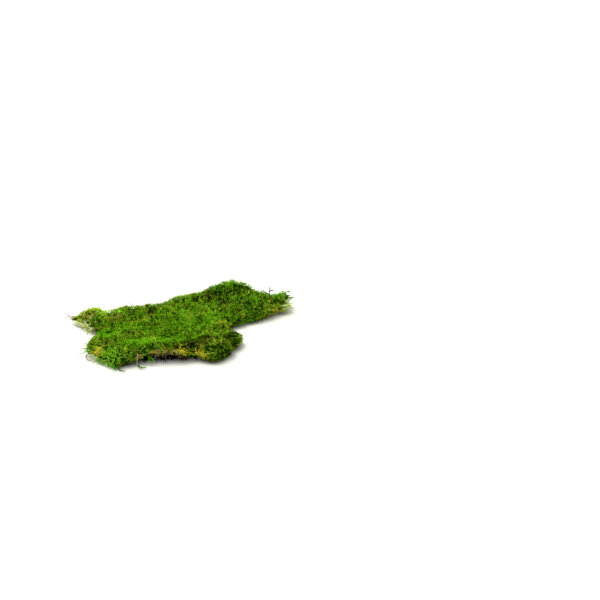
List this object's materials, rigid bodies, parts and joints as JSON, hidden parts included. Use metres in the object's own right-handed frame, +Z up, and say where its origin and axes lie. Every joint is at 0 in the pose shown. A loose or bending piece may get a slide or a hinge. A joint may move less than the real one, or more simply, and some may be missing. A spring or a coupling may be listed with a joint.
{
  "type": "moss clump",
  "caption": "Ragged flat clump of green sheet moss on a thin thatch of dead stems, with stray shoots standing clear around its rim.",
  "frame": {"origin": "on the surface that the clump rests on, under the middle of its box", "axes": "+Z up, +X to the right along the clump's length, -Y to the front with the lifted edge"},
  "size_m": [0.1994, 0.1292, 0.0299],
  "materials": {
    "moss_green": "dense matte feathery moss, mid green with darker, yellow and brown patches",
    "dead_moss_brown": "matte tangle of dead stems, brown to tan",
    "shoot_olive": "matte leafy shoots, olive green",
    "stem_straw": "matte bare stems, straw to dark olive"
  },
  "bodies": {
    "root": {"green_carpet": "moss_green", "brown_thatch": "dead_moss_brown", "left_tip_stem": "stem_straw", "left_arm_shoot": "shoot_olive", "left_fringe_shoot_1": "shoot_olive", "left_fringe_shoot_2": "shoot_olive", "upright_stalk": "stem_straw", "right_tip_shoot_1": "shoot_olive", "right_tip_shoot_2": "shoot_olive", "right_tip_shoot_3": "shoot_olive", "right_tip_shoot_4": "shoot_olive", "right_tip_shoot_5": "shoot_olive", "lobe_side_shoot_1": "stem_straw", "lobe_side_shoot_2": "stem_straw", "lobe_side_shoot_3": "stem_straw", "looped_shoot": "stem_straw", "floor_curl_shoot": "shoot_olive", "hanging_stem": "stem_straw", "hanging_shoot": "shoot_olive"}
  },
  "joints": []
}
